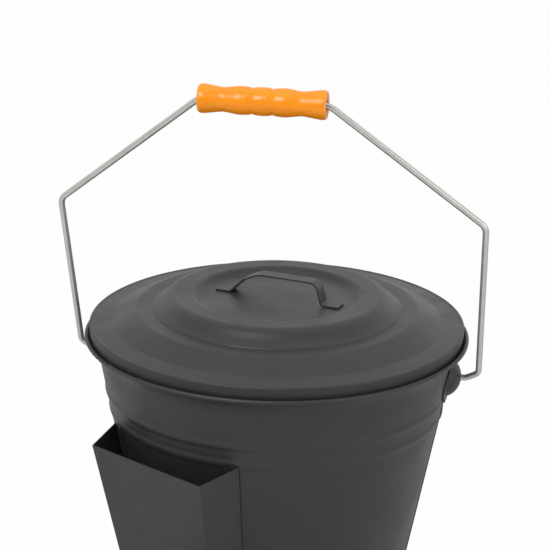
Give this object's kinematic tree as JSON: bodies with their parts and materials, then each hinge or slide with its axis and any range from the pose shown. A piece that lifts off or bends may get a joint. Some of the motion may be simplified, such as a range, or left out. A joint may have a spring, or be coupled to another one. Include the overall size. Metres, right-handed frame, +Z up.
{
  "type": "ash bucket with shovel",
  "caption": "Dark grey sheet-steel ash bucket with a stepped lift-off lid, a bright wire bail with an orange turned wooden grip, a side pocket and a small hand shovel.",
  "frame": {"origin": "centre of the bucket's foot, on the floor", "axes": "+Z up, +X along the bail's hinge line to the ear beside the wall seam, -Y to the front where the shovel lies"},
  "size_m": [0.3326, 0.3558, 0.4857],
  "materials": {
    "grey_coat": "matte anthracite powder coat with a fine orange-peel grain",
    "bright_wire": "satin drawn steel wire",
    "bare_steel": "plain steel",
    "orange_wood": "glossy orange lacquer over turned wood"
  },
  "bodies": {
    "bucket": {"bucket_wall": "grey_coat", "rim_wire": "bare_steel", "bucket_bottom": "grey_coat", "right_ear": "grey_coat", "left_ear": "grey_coat", "pocket_shell": "grey_coat", "pocket_floor": "grey_coat"},
    "bail": {"bail_wire": "bright_wire"},
    "grip": {"bail_grip": "orange_wood"},
    "lid": {"lid_pan": "grey_coat", "lid_handle": "grey_coat"},
    "shovel": {"shovel_blade": "grey_coat", "shovel_tang": "grey_coat", "shovel_rivets": "bare_steel", "shovel_ferrule": "bright_wire", "shovel_grip": "orange_wood"}
  },
  "joints": [
    {"name": "bail_swing", "type": "hinge", "parent": "bucket", "child": "bail", "pos_m": [0, 0, 0.249], "axis": [1, 0, 0], "range_deg": [-166, 134]},
    {"name": "grip_spin", "type": "hinge", "parent": "bail", "child": "grip", "pos_m": [0, -0.06264, 0.47487], "axis": [1, 0, 0], "continuous": true},
    {"name": "lid_lift", "type": "slide", "parent": "bucket", "child": "lid", "axis": [0, 0, 1], "range_m": [0, 0.1]},
    {"name": "shovel_draw", "type": "slide", "parent": "bucket", "child": "shovel", "axis": [0, -1, 0], "range_m": [0, 0.25]}
  ]
}
